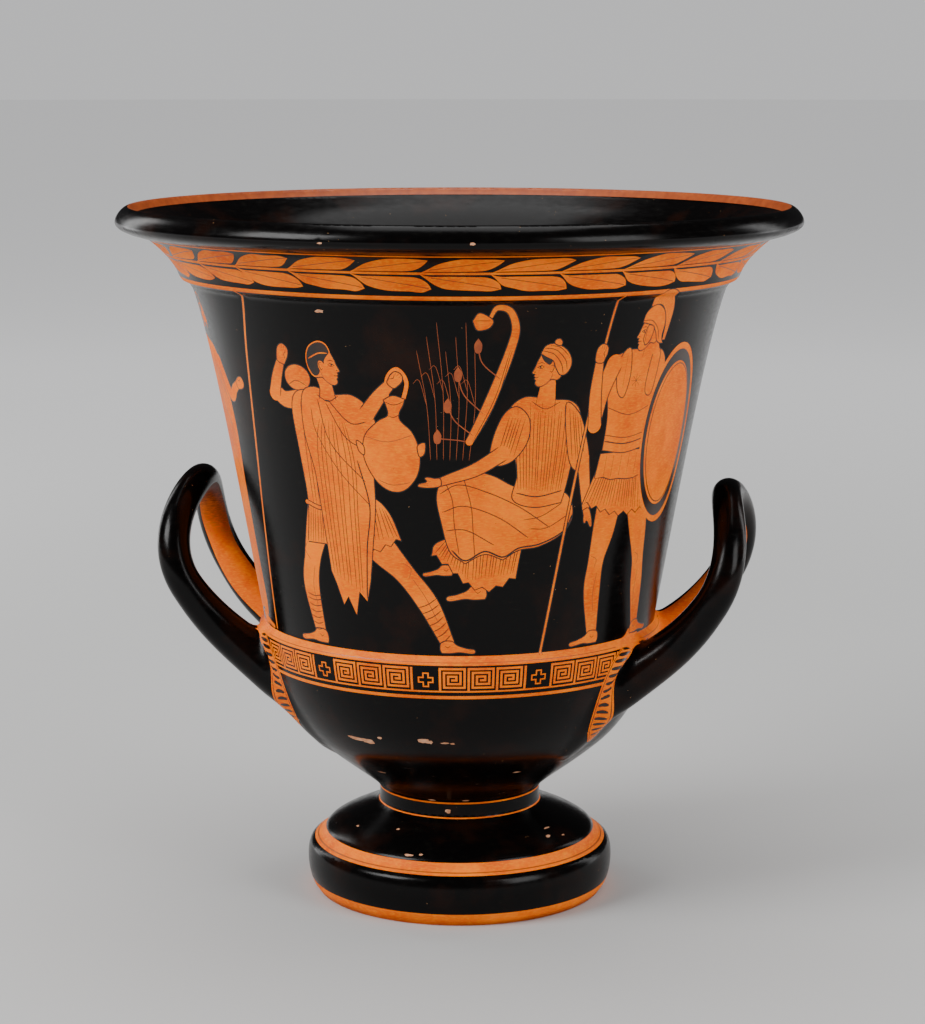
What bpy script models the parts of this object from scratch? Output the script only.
"""Calyx krater: a wheel-thrown wine-mixing bowl with two upturned loop handles.

The pot is one fired piece. Its body is turned: a rolled lip, a flaring rim zone that
ends in a ridge, a concave wall, a ledge, the rounded lower bowl, a collar and a stepped
foot that is hollow underneath. Two round-section handles spring from the lower bowl at
+X and -X and curve up beside the wall.

Metres, +Z up. The origin is the centre of the foot's resting ring. The front is at -Y.
A profile is a list of (radius, height) points. Angles are degrees from straight down,
and a lead is the share of its chord that a curve's control point stands off an end.
"""

from math import cos, pi, radians, sin

import bmesh
import bpy
from mathutils import Vector

# Heights of the zones, stacked from the resting plane to the crest of the lip
BASE_EDGE_HEIGHT = 0.006
FOOT_TORUS_HEIGHT = 0.027
FOOT_BAND_HEIGHT = 0.009
FOOT_DOME_HEIGHT = 0.0195
COLLAR_HEIGHT = 0.0095
CUL_STEM_HEIGHT = 0.038
CUL_BELLY_HEIGHT = 0.078
LEDGE_HEIGHT = 0.0045
WALL_HEIGHT = 0.2275
RIDGE_HEIGHT = 0.0073
FLARE_HEIGHT = 0.0263
LIP_HEIGHT = 0.0194

# Radii of the zones. An inset or an overhang is measured from the radius it follows
LIP_RADIUS = 0.230
LIP_CREST_INSET = 0.009
LIP_JOINT_INSET = 0.019
WALL_TOP_RADIUS = 0.1797
RIDGE_OVERHANG = 0.0085
WALL_FOOT_RADIUS = 0.1338
LEDGE_OVERHANG = 0.0037
CUL_RADIUS = 0.1005
COLLAR_RADIUS = 0.0555
FOOT_RADIUS = 0.1033
FOOT_DOME_INSET = 0.0103
FOOT_TORUS_BULGE = 0.0026
FOOT_TORUS_BOTTOM_INSET = 0.0006
BASE_INSET = 0.0038

# Rounding of the lip and the ridge
LIP_BULGE_DROP = 0.0104
LIP_CREST_LEAD = 0.42
LIP_UPPER_LEAD = 0.4
LIP_LOWER_LEAD = 0.5
LIP_JOINT_LEAD = 0.2
RIDGE_ARRIS_DEPTH = 0.0016
RIDGE_ARRIS_DROP = 0.0022
RIDGE_UNDERCUT_DEPTH = 0.0008
RIDGE_UNDERCUT_SHARE = 0.3

# Curves of the flare, the wall and the lower bowl
FLARE_TOP_ANGLE = 57.0
FLARE_FOOT_ANGLE = 14.0
FLARE_LEAD = 0.26
WALL_TOP_ANGLE = 19.5
WALL_FOOT_ANGLE = 10.4
WALL_TOP_LEAD = 0.177
WALL_FOOT_LEAD = 0.343
LEDGE_ROUND_REACH = 0.6
LEDGE_ROUND_DROP = 0.45
CUL_TOP_ANGLE = 1.0
CUL_TURN_ANGLE = 49.0
CUL_TOP_LEAD = 0.14
CUL_TURN_LEAD = 0.415
STEM_TURN_LEAD = 0.56
STEM_FOOT_ANGLE = 4.0
STEM_FOOT_LEAD = 0.10

# Curves of the foot, as shares of the dome's run and fall, the band and the torus
DOME_TOP_RUN = 0.12
DOME_TOP_FALL = 0.26
DOME_EDGE_RUN = 0.19
DOME_EDGE_FALL = 0.41
BAND_STEP_RUN = 0.1
BAND_STEP_FALL = 0.3
TORUS_TOP_LEAD = 0.19
TORUS_BOTTOM_LEAD = 0.30

# Thickness and hollows
WALL_THICKNESS = 0.009
CUL_THICKNESS = 0.010
FLOOR_THICKNESS = 0.032
FLOOR_WALL_LEAD = 0.3
FLOOR_AXIS_LEAD = 0.45
RESERVED_BAND_WIDTH = 0.004
RESERVED_BAND_DROP = 0.0054
LIP_INNER_DROP = 0.0165
RESTING_RING_WIDTH = 0.013
FOOT_HOLLOW_HEIGHT = 0.036
FOOT_HOLLOW_SHAPE = ((0.95, 0.25), (0.70, 0.66), (0.35, 0.93))

# Handles: a round strand that swells to its roots. Places are offsets from the foot of
# the wall, or from the ledge for the root, and a toe-in or splay leans the strand along Y
HANDLE_STRAND_RADIUS = 0.0115
HANDLE_TOP_SWELL = 0.87
HANDLE_ROOT_SWELL = 1.45
HANDLE_TIP_SWELL = 0.60
HANDLE_SPREAD = 0.0558
HANDLE_ROOT_SPREAD = 0.056
HANDLE_ROOT_DROP = 0.0385
HANDLE_ROOT_INSET = 0.0272
HANDLE_ROOT_ANGLE = 36.0
HANDLE_ROOT_TOE_IN = 0.17
HANDLE_SHOULDER_REACH = 0.0433
HANDLE_SHOULDER_RISE = 0.0225
HANDLE_SHOULDER_ANGLE = 57.0
HANDLE_SHOULDER_SPLAY = 0.13
HANDLE_TOP_REACH = 0.049
HANDLE_TOP_RISE = 0.0888
HANDLE_TIP_DROP = 0.038
HANDLE_TIP_INSET = 0.033
HANDLE_TIP_LEAD = 0.33
HANDLE_ROOT_LEAD = 0.44
HANDLE_SHOULDER_LEAD = 0.38
HANDLE_ARCH_LEAD = 0.46
HANDLE_TOP_LEAD = 0.35
HANDLE_EMBED_SHARE = 0.45

# Fineness of the turning, the curves and the handles
TURN_STEPS = 52
LIP_STEPS = 4
FLARE_STEPS = 5
WALL_STEPS = 8
BELLY_STEPS = 7
STEM_STEPS = 5
FOOT_STEPS = 5
FLOOR_STEPS = 4
HANDLE_SECTION_STEPS = 3
HANDLE_LENGTH_STEPS = 5
WELD_DISTANCE = 0.00005

# Heights and radii worked out from the values above
TORUS_BOTTOM_Z = BASE_EDGE_HEIGHT
TORUS_TOP_Z = TORUS_BOTTOM_Z + FOOT_TORUS_HEIGHT
DOME_EDGE_Z = TORUS_TOP_Z + FOOT_BAND_HEIGHT
COLLAR_BOTTOM_Z = DOME_EDGE_Z + FOOT_DOME_HEIGHT
COLLAR_TOP_Z = COLLAR_BOTTOM_Z + COLLAR_HEIGHT
CUL_Z = COLLAR_TOP_Z + CUL_STEM_HEIGHT
LEDGE_Z = CUL_Z + CUL_BELLY_HEIGHT
WALL_FOOT_Z = LEDGE_Z + LEDGE_HEIGHT
WALL_TOP_Z = WALL_FOOT_Z + WALL_HEIGHT
RIDGE_Z = WALL_TOP_Z + RIDGE_HEIGHT
LIP_JOINT_Z = RIDGE_Z + FLARE_HEIGHT
CREST_Z = LIP_JOINT_Z + LIP_HEIGHT
FLOOR_Z = FOOT_HOLLOW_HEIGHT + FLOOR_THICKNESS
CREST_RADIUS = LIP_RADIUS - LIP_CREST_INSET
LIP_JOINT_RADIUS = LIP_RADIUS - LIP_JOINT_INSET
RIDGE_RADIUS = WALL_TOP_RADIUS + RIDGE_OVERHANG
LEDGE_RADIUS = WALL_FOOT_RADIUS + LEDGE_OVERHANG
BASE_RADIUS = FOOT_RADIUS - BASE_INSET

GLOSS_BLACK = (0.012, 0.010, 0.009, 1.0)
GLOSS_ROUGHNESS = 0.28


def clear_scene():
    """Remove every object that the opened file holds."""
    for item in list(bpy.data.objects):
        bpy.data.objects.remove(item, do_unlink=True)


def new_collection(name):
    """Make a collection in the scene and return it."""
    collection = bpy.data.collections.new(name)
    bpy.context.scene.collection.children.link(collection)
    return collection


def gloss_material():
    """The fired black gloss that covers most of the pot."""
    material = bpy.data.materials.new("black_gloss")
    material.use_nodes = True
    shader = material.node_tree.nodes["Principled BSDF"]
    shader.inputs["Base Color"].default_value = GLOSS_BLACK
    shader.inputs["Roughness"].default_value = GLOSS_ROUGHNESS
    shader.inputs["Metallic"].default_value = 0.0
    return material


def downward(angle):
    """Direction in the profile plane, turned inwards by degrees from straight down."""
    return Vector((-sin(radians(angle)), -cos(radians(angle))))


def bezier(start, lead_out, lead_in, end, count):
    """Points of a cubic Bezier from start to end, without its last point."""
    points = []
    for index in range(count):
        t = index / count
        s = 1.0 - t
        point = s ** 3 * start + 3 * s * s * t * lead_out
        points.append(point + 3 * s * t * t * lead_in + t ** 3 * end)
    return points


def bend(start, end, leave, arrive, out_lead, in_lead, count):
    """A curve that leaves and arrives at given angles, with leads as shares of its chord."""
    chord = (end - start).length
    lead_out = start + downward(leave) * chord * out_lead
    lead_in = end - downward(arrive) * chord * in_lead
    return bezier(start, lead_out, lead_in, end, count)


def rim_curve():
    """Outer face of the lip, from its crest to the joint with the flare."""
    crest = Vector((CREST_RADIUS, CREST_Z))
    widest = Vector((LIP_RADIUS, CREST_Z - LIP_BULGE_DROP))
    joint = Vector((LIP_JOINT_RADIUS, LIP_JOINT_Z))
    upper_out = crest + Vector(((widest.x - crest.x) * LIP_CREST_LEAD, 0.0))
    upper_in = widest + Vector((0.0, LIP_BULGE_DROP * LIP_UPPER_LEAD))
    fall = widest.y - joint.y
    lower_out = widest - Vector((0.0, fall * LIP_LOWER_LEAD))
    lower_in = joint + Vector(((widest.x - joint.x) * LIP_LOWER_LEAD, fall * LIP_JOINT_LEAD))
    upper = bezier(crest, upper_out, upper_in, widest, LIP_STEPS)
    return upper + bezier(widest, lower_out, lower_in, joint, LIP_STEPS)


def flare_curve():
    """The concave zone under the lip, down to the ridge."""
    joint = Vector((LIP_JOINT_RADIUS, LIP_JOINT_Z))
    ridge = Vector((RIDGE_RADIUS, RIDGE_Z))
    return bend(joint, ridge, FLARE_TOP_ANGLE, FLARE_FOOT_ANGLE, FLARE_LEAD, FLARE_LEAD, FLARE_STEPS)


def ridge_curve():
    """The rounded ridge and its undercut, down to the wall."""
    ridge = Vector((RIDGE_RADIUS, RIDGE_Z))
    arris = ridge - Vector((RIDGE_ARRIS_DEPTH, RIDGE_ARRIS_DROP))
    undercut_z = WALL_TOP_Z + RIDGE_HEIGHT * RIDGE_UNDERCUT_SHARE
    return [ridge, arris, Vector((WALL_TOP_RADIUS + RIDGE_UNDERCUT_DEPTH, undercut_z))]


def wall_curve():
    """The concave wall that carries the picture, down to the ledge."""
    top = Vector((WALL_TOP_RADIUS, WALL_TOP_Z))
    foot = Vector((WALL_FOOT_RADIUS, WALL_FOOT_Z))
    return bend(top, foot, WALL_TOP_ANGLE, WALL_FOOT_ANGLE, WALL_TOP_LEAD, WALL_FOOT_LEAD, WALL_STEPS)


def ledge_curve():
    """The small rounded step out from the foot of the wall."""
    foot = Vector((WALL_FOOT_RADIUS, WALL_FOOT_Z))
    return [foot, foot + Vector((LEDGE_OVERHANG * LEDGE_ROUND_REACH, -LEDGE_HEIGHT * LEDGE_ROUND_DROP))]


def cul_belly_curve():
    """The rounded upper half of the lower bowl."""
    edge = Vector((LEDGE_RADIUS, LEDGE_Z))
    turn = Vector((CUL_RADIUS, CUL_Z))
    return bend(edge, turn, CUL_TOP_ANGLE, CUL_TURN_ANGLE, CUL_TOP_LEAD, CUL_TURN_LEAD, BELLY_STEPS)


def cul_stem_curve():
    """The hollow curve of the lower bowl into the collar."""
    turn = Vector((CUL_RADIUS, CUL_Z))
    collar = Vector((COLLAR_RADIUS, COLLAR_TOP_Z))
    return bend(turn, collar, CUL_TURN_ANGLE, STEM_FOOT_ANGLE, STEM_TURN_LEAD, STEM_FOOT_LEAD, STEM_STEPS)


def foot_curve():
    """Collar, domed disc, reserved band, torus and base edge."""
    collar_top = Vector((COLLAR_RADIUS, COLLAR_TOP_Z))
    collar_bottom = Vector((COLLAR_RADIUS, COLLAR_BOTTOM_Z))
    dome_edge = Vector((FOOT_RADIUS - FOOT_DOME_INSET, DOME_EDGE_Z))
    torus_top = Vector((FOOT_RADIUS, TORUS_TOP_Z))
    torus_bottom = Vector((FOOT_RADIUS - FOOT_TORUS_BOTTOM_INSET, TORUS_BOTTOM_Z))
    run = dome_edge.x - collar_bottom.x
    dome_out = collar_bottom + Vector((run * DOME_TOP_RUN, -FOOT_DOME_HEIGHT * DOME_TOP_FALL))
    dome_in = dome_edge + Vector((-run * DOME_EDGE_RUN, FOOT_DOME_HEIGHT * DOME_EDGE_FALL))
    dome = bezier(collar_bottom, dome_out, dome_in, dome_edge, FOOT_STEPS)
    step = dome_edge + Vector((FOOT_BAND_HEIGHT * BAND_STEP_RUN, -FOOT_BAND_HEIGHT * BAND_STEP_FALL))
    bulge = Vector((FOOT_TORUS_BULGE * 4.0 / 3.0, 0.0))
    torus_out = torus_top + bulge - Vector((0.0, FOOT_TORUS_HEIGHT * TORUS_TOP_LEAD))
    torus_in = torus_bottom + bulge + Vector((0.0, FOOT_TORUS_HEIGHT * TORUS_BOTTOM_LEAD))
    torus = bezier(torus_top, torus_out, torus_in, torus_bottom, FOOT_STEPS)
    return [collar_top] + dome + [dome_edge, step] + torus + [torus_bottom, Vector((BASE_RADIUS, 0.0))]


def underside_curve():
    """The flat resting ring and the hollow under the foot, to the axis."""
    ring_inner = BASE_RADIUS - RESTING_RING_WIDTH
    hollow = [Vector((ring_inner * reach, FOOT_HOLLOW_HEIGHT * rise)) for reach, rise in FOOT_HOLLOW_SHAPE]
    return [Vector((ring_inner, 0.0))] + hollow + [Vector((0.0, FOOT_HOLLOW_HEIGHT))]


def offset_inwards(points, distance):
    """Move a downward run of profile points off their curve, towards the hollow side."""
    moved = []
    for index, point in enumerate(points):
        before = points[max(index - 1, 0)]
        after = points[min(index + 1, len(points) - 1)]
        along = (after - before).normalized()
        moved.append(point + Vector((along.y, -along.x)) * distance)
    return moved


def outer_curve():
    """The whole outer face, from the crest of the lip to the base edge."""
    rim_zone = rim_curve() + flare_curve() + ridge_curve()
    bowl = wall_curve() + ledge_curve() + cul_belly_curve() + cul_stem_curve()
    return rim_zone + bowl + foot_curve()


def wall_line(share):
    """Wall and lower bowl from top to bottom, set in by a share of the wall's thickness."""
    wall = offset_inwards(wall_curve(), WALL_THICKNESS * share)
    cul = offset_inwards(cul_belly_curve(), CUL_THICKNESS * share)
    return wall + cul[1:]


def floor_curve(line, height):
    """Carry a wall line on from its lowest point to the axis at a height."""
    start = line[-1]
    slope = (line[-1] - line[-2]).normalized()
    end = Vector((0.0, height))
    reach = (start - end).length
    lead_out = start + slope * reach * FLOOR_WALL_LEAD
    lead_in = end + Vector((reach * FLOOR_AXIS_LEAD, 0.0))
    return bezier(start, lead_out, lead_in, end, FLOOR_STEPS) + [end]


def inner_curve():
    """The inner face, from under the crest of the lip down to the floor on the axis."""
    crest = Vector((CREST_RADIUS, CREST_Z))
    band_end = crest - Vector((RESERVED_BAND_WIDTH, RESERVED_BAND_DROP))
    flare = offset_inwards(flare_curve(), WALL_THICKNESS)
    lip_end = Vector((flare[1].x, CREST_Z - LIP_INNER_DROP))
    wall = wall_line(1.0)
    return [band_end, lip_end] + flare[3:] + wall[:-1] + floor_curve(wall, FLOOR_Z)


def turned_object(name, points, collection):
    """Turn a profile about the Z axis with a Screw modifier."""
    mesh = bpy.data.meshes.new(name)
    vertices = [(point.x, 0.0, point.y) for point in points]
    edges = [(index, index + 1) for index in range(len(points) - 1)]
    mesh.from_pydata(vertices, edges, [])
    turned = bpy.data.objects.new(name, mesh)
    collection.objects.link(turned)
    screw = turned.modifiers.new("turn", "SCREW")
    screw.axis = "Z"
    screw.angle = 2.0 * pi
    screw.steps = TURN_STEPS
    screw.render_steps = TURN_STEPS
    screw.use_merge_vertices = True
    screw.merge_threshold = WELD_DISTANCE
    screw.use_smooth_shade = True
    return turned


def as_cutter(item):
    """Mark an object as a construction aid that is no part of the pot."""
    item.hide_render = True
    item.display_type = "WIRE"


def body(collection):
    """The thrown body with its hollow, as one closed turned solid."""
    profile = list(reversed(inner_curve())) + outer_curve() + underside_curve()
    return turned_object("krater", profile, collection)


def wall_core(collection):
    """The space inside the middle of the wall, which the handle roots must not enter."""
    line = wall_line(HANDLE_EMBED_SHARE)
    top = Vector((0.0, line[0].y))
    bottom = floor_curve(line, FLOOR_Z - CUL_THICKNESS * (1.0 - HANDLE_EMBED_SHARE))
    core = turned_object("wall_core", [top] + line[:-1] + bottom, collection)
    as_cutter(core)
    return core


def rising(angle, lean):
    """Direction outwards and up by degrees above the horizon, with a lean along Y."""
    return Vector((cos(radians(angle)), lean, sin(radians(angle)))).normalized()


def handle_path():
    """Centre line of the +X handle: place, direction, swell and lead shares at each point."""
    root_x = LEDGE_RADIUS - HANDLE_ROOT_INSET
    root = Vector((root_x, HANDLE_ROOT_SPREAD, WALL_FOOT_Z - HANDLE_ROOT_DROP))
    tip = root - Vector((HANDLE_TIP_INSET, 0.0, HANDLE_TIP_DROP))
    shoulder_x = WALL_FOOT_RADIUS + HANDLE_SHOULDER_REACH
    shoulder = Vector((shoulder_x, HANDLE_SPREAD, WALL_FOOT_Z + HANDLE_SHOULDER_RISE))
    top = Vector((WALL_FOOT_RADIUS + HANDLE_TOP_REACH, 0.0, WALL_FOOT_Z + HANDLE_TOP_RISE))
    root_way = rising(HANDLE_ROOT_ANGLE, -HANDLE_ROOT_TOE_IN)
    shoulder_way = rising(HANDLE_SHOULDER_ANGLE, HANDLE_SHOULDER_SPLAY)
    rise = [
        (tip, (root - tip).normalized(), HANDLE_TIP_SWELL, HANDLE_TIP_LEAD, HANDLE_TIP_LEAD),
        (root, root_way, HANDLE_ROOT_SWELL, HANDLE_TIP_LEAD, HANDLE_ROOT_LEAD),
        (shoulder, shoulder_way, 1.0, HANDLE_SHOULDER_LEAD, HANDLE_ARCH_LEAD),
    ]
    middle = [(top, Vector((0.0, -1.0, 0.0)), HANDLE_TOP_SWELL, HANDLE_TOP_LEAD, HANDLE_TOP_LEAD)]
    fall = []
    for place, way, swell, lead_in, lead_out in reversed(rise):
        mirrored = Vector((place.x, -place.y, place.z))
        fall.append((mirrored, Vector((-way.x, way.y, -way.z)), swell, lead_out, lead_in))
    return rise + middle + fall


def handle_curve(collection):
    """The strand of the +X handle as a bevelled curve object."""
    path = handle_path()
    curve = bpy.data.curves.new("handle_strand", "CURVE")
    curve.dimensions = "3D"
    curve.resolution_u = HANDLE_LENGTH_STEPS
    curve.bevel_depth = HANDLE_STRAND_RADIUS
    curve.bevel_resolution = HANDLE_SECTION_STEPS
    curve.use_fill_caps = True
    spline = curve.splines.new("BEZIER")
    spline.bezier_points.add(len(path) - 1)
    for index, (place, way, swell, lead_in, lead_out) in enumerate(path):
        before = path[max(index - 1, 0)][0]
        after = path[min(index + 1, len(path) - 1)][0]
        point = spline.bezier_points[index]
        point.co = place
        point.handle_left_type = "FREE"
        point.handle_right_type = "FREE"
        point.handle_left = place - way * (place - before).length * lead_in
        point.handle_right = place + way * (after - place).length * lead_out
        point.radius = swell
    strand = bpy.data.objects.new("handle_strand", curve)
    collection.objects.link(strand)
    return strand


def handle(collection):
    """The +X handle as a closed mesh, made from its curve."""
    strand = handle_curve(collection)
    graph = bpy.context.evaluated_depsgraph_get()
    mesh = bpy.data.meshes.new_from_object(strand.evaluated_get(graph))
    solid = bpy.data.objects.new("handle_right", mesh)
    solid.matrix_world = strand.matrix_world
    collection.objects.link(solid)
    bpy.data.objects.remove(strand, do_unlink=True)
    shell = bmesh.new()
    shell.from_mesh(mesh)
    bmesh.ops.remove_doubles(shell, verts=shell.verts, dist=WELD_DISTANCE)
    bmesh.ops.recalc_face_normals(shell, faces=shell.faces)
    shell.to_mesh(mesh)
    shell.free()
    as_cutter(solid)
    return solid


def add_boolean(item, name, operation, other):
    """Add an exact Boolean with another object."""
    boolean = item.modifiers.new(name, "BOOLEAN")
    boolean.operation = operation
    boolean.solver = "EXACT"
    boolean.object = other


def main():
    """Build the krater."""
    clear_scene()
    parts = new_collection("calyx_krater")
    helpers = new_collection("construction")
    krater = body(parts)
    core = wall_core(helpers)
    right = handle(helpers)
    left = bpy.data.objects.new("handle_left", right.data)
    helpers.objects.link(left)
    as_cutter(left)
    left.rotation_euler = (0.0, 0.0, pi)
    for strand in (right, left):
        add_boolean(strand, "trim_root", "DIFFERENCE", core)
        add_boolean(krater, "join_" + strand.name, "UNION", strand)
    krater.data.materials.append(gloss_material())


main()
